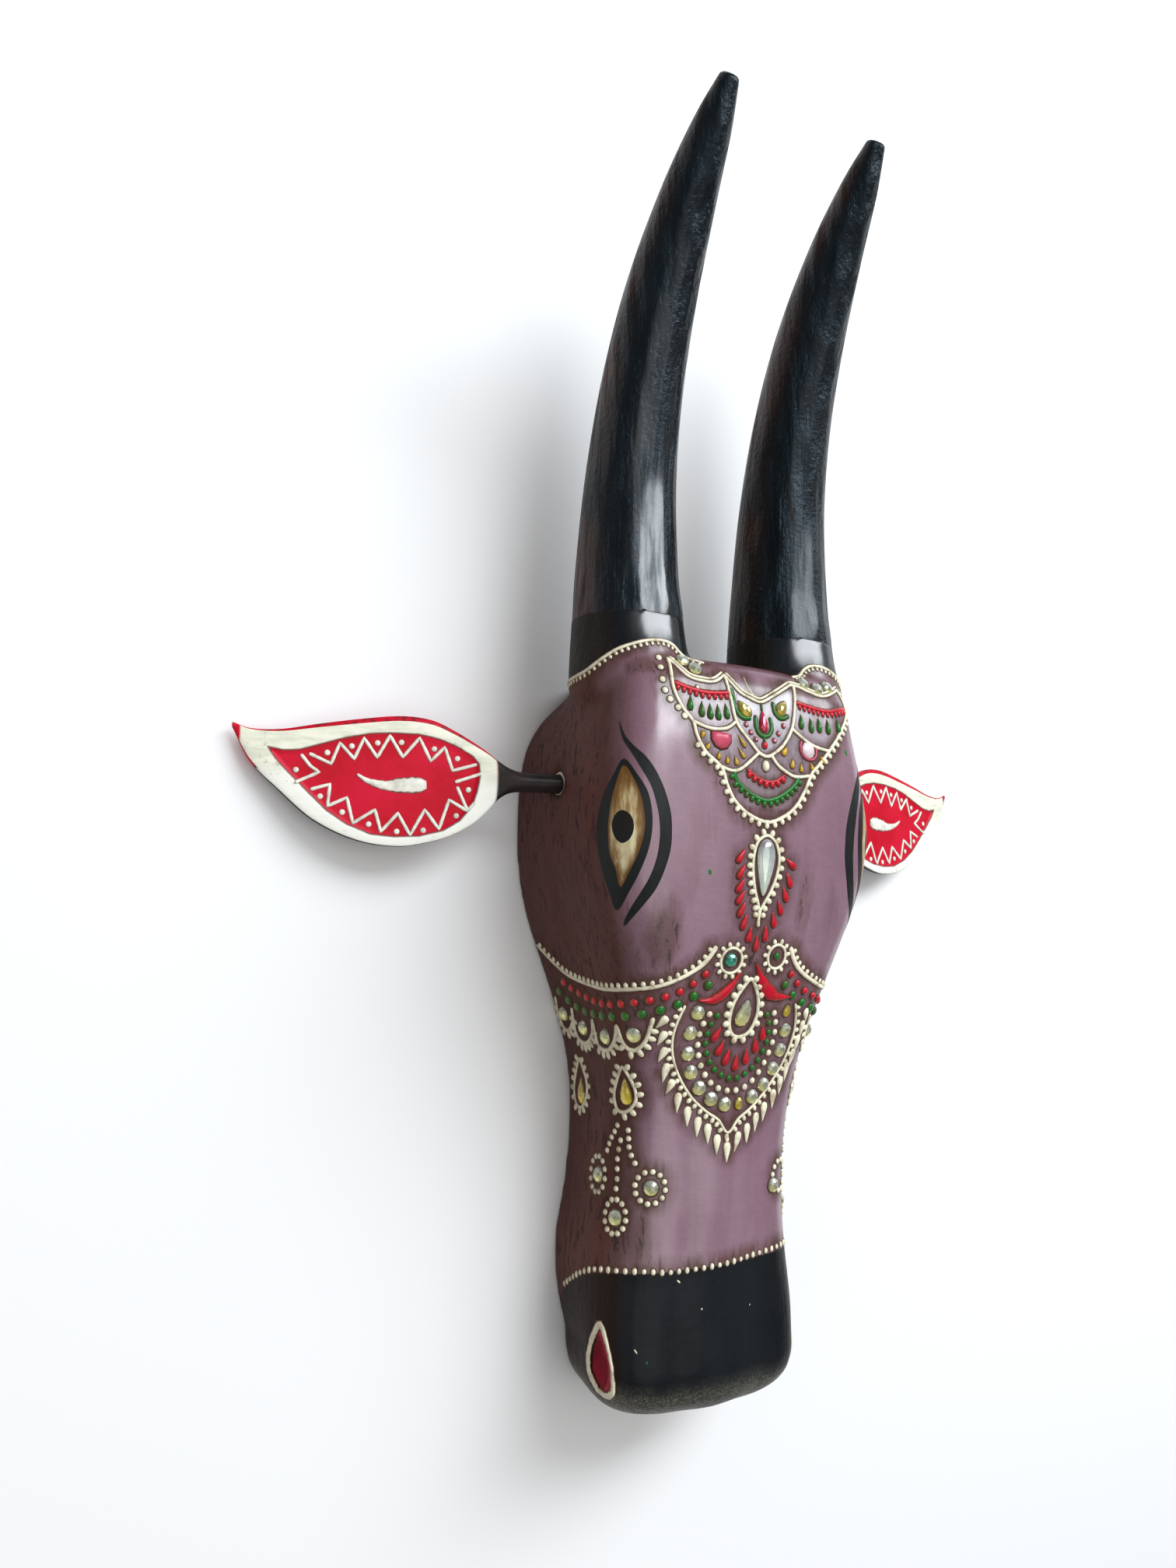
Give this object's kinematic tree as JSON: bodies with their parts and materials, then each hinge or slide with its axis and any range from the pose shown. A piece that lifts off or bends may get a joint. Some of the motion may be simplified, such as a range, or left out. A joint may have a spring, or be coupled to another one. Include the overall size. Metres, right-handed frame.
{
  "type": "cow mask",
  "caption": "Carved and painted wooden cow's head mask with a flat back, tall curved horns, leaf-shaped ears on stems, and raised paint ornament set with glass stones.",
  "frame": {"origin": "on the flat back of the head, on its centre line, level with the lower ends of the eyes", "axes": "+X across the face to the viewer's right, +Y up the head towards the horn tips, +Z out of the face, square to the flat back"},
  "size_m": [0.429, 0.5913, 0.1346],
  "materials": {
    "mauve_paint": "satin mauve paint over carved wood, with a brown wash",
    "black_paint": "satin black paint over carved wood",
    "red_paint": "gloss red paint over carved wood, black behind",
    "clear_glass": "faceted, foiled behind",
    "yellow_glass": "faceted, foiled behind",
    "red_glass": "faceted, foiled behind",
    "green_glass": "faceted, foiled behind"
  },
  "bodies": {
    "root": {"drop_tassel_left_1": "yellow_glass", "drop_tassel_left_2": "yellow_glass", "drop_tassel_right_1": "yellow_glass", "drop_tassel_right_2": "yellow_glass", "ear_left": "red_paint", "ear_right": "red_paint", "head": "mauve_paint", "horn_left": "black_paint", "horn_right": "black_paint", "stone_cheek_left_1": "clear_glass", "stone_cheek_left_2": "clear_glass", "stone_cheek_left_3": "clear_glass", "stone_cheek_left_4": "clear_glass", "stone_cheek_right_1": "clear_glass", "stone_cheek_right_2": "clear_glass", "stone_cheek_right_3": "clear_glass", "stone_cheek_right_4": "clear_glass", "stone_crown_left": "yellow_glass", "stone_crown_middle": "red_glass", "stone_crown_right": "yellow_glass", "stone_flower_left": "green_glass", "stone_forehead": "clear_glass", "stone_horn_left_1": "clear_glass", "stone_horn_left_2": "clear_glass", "stone_horn_right_1": "clear_glass", "stone_horn_right_2": "clear_glass", "stone_horn_right_3": "clear_glass", "stone_nose_left_1": "clear_glass", "stone_nose_left_2": "clear_glass", "stone_nose_left_3": "clear_glass", "stone_nose_left_4": "clear_glass", "stone_nose_left_5": "clear_glass", "stone_nose_left_6": "clear_glass", "stone_nose_left_7": "clear_glass", "stone_nose_middle": "clear_glass", "stone_nose_right_1": "yellow_glass", "stone_nose_right_2": "clear_glass", "stone_nose_right_3": "clear_glass", "stone_nose_right_4": "clear_glass", "stone_nose_right_5": "clear_glass", "stone_nose_right_6": "clear_glass", "stone_nose_right_7": "yellow_glass", "stone_tassel_left_1": "clear_glass", "stone_tassel_left_2": "clear_glass", "stone_tassel_left_3": "clear_glass", "stone_tassel_right_1": "clear_glass", "stone_tassel_right_2": "clear_glass", "stone_tassel_right_3": "clear_glass"}
  },
  "joints": []
}
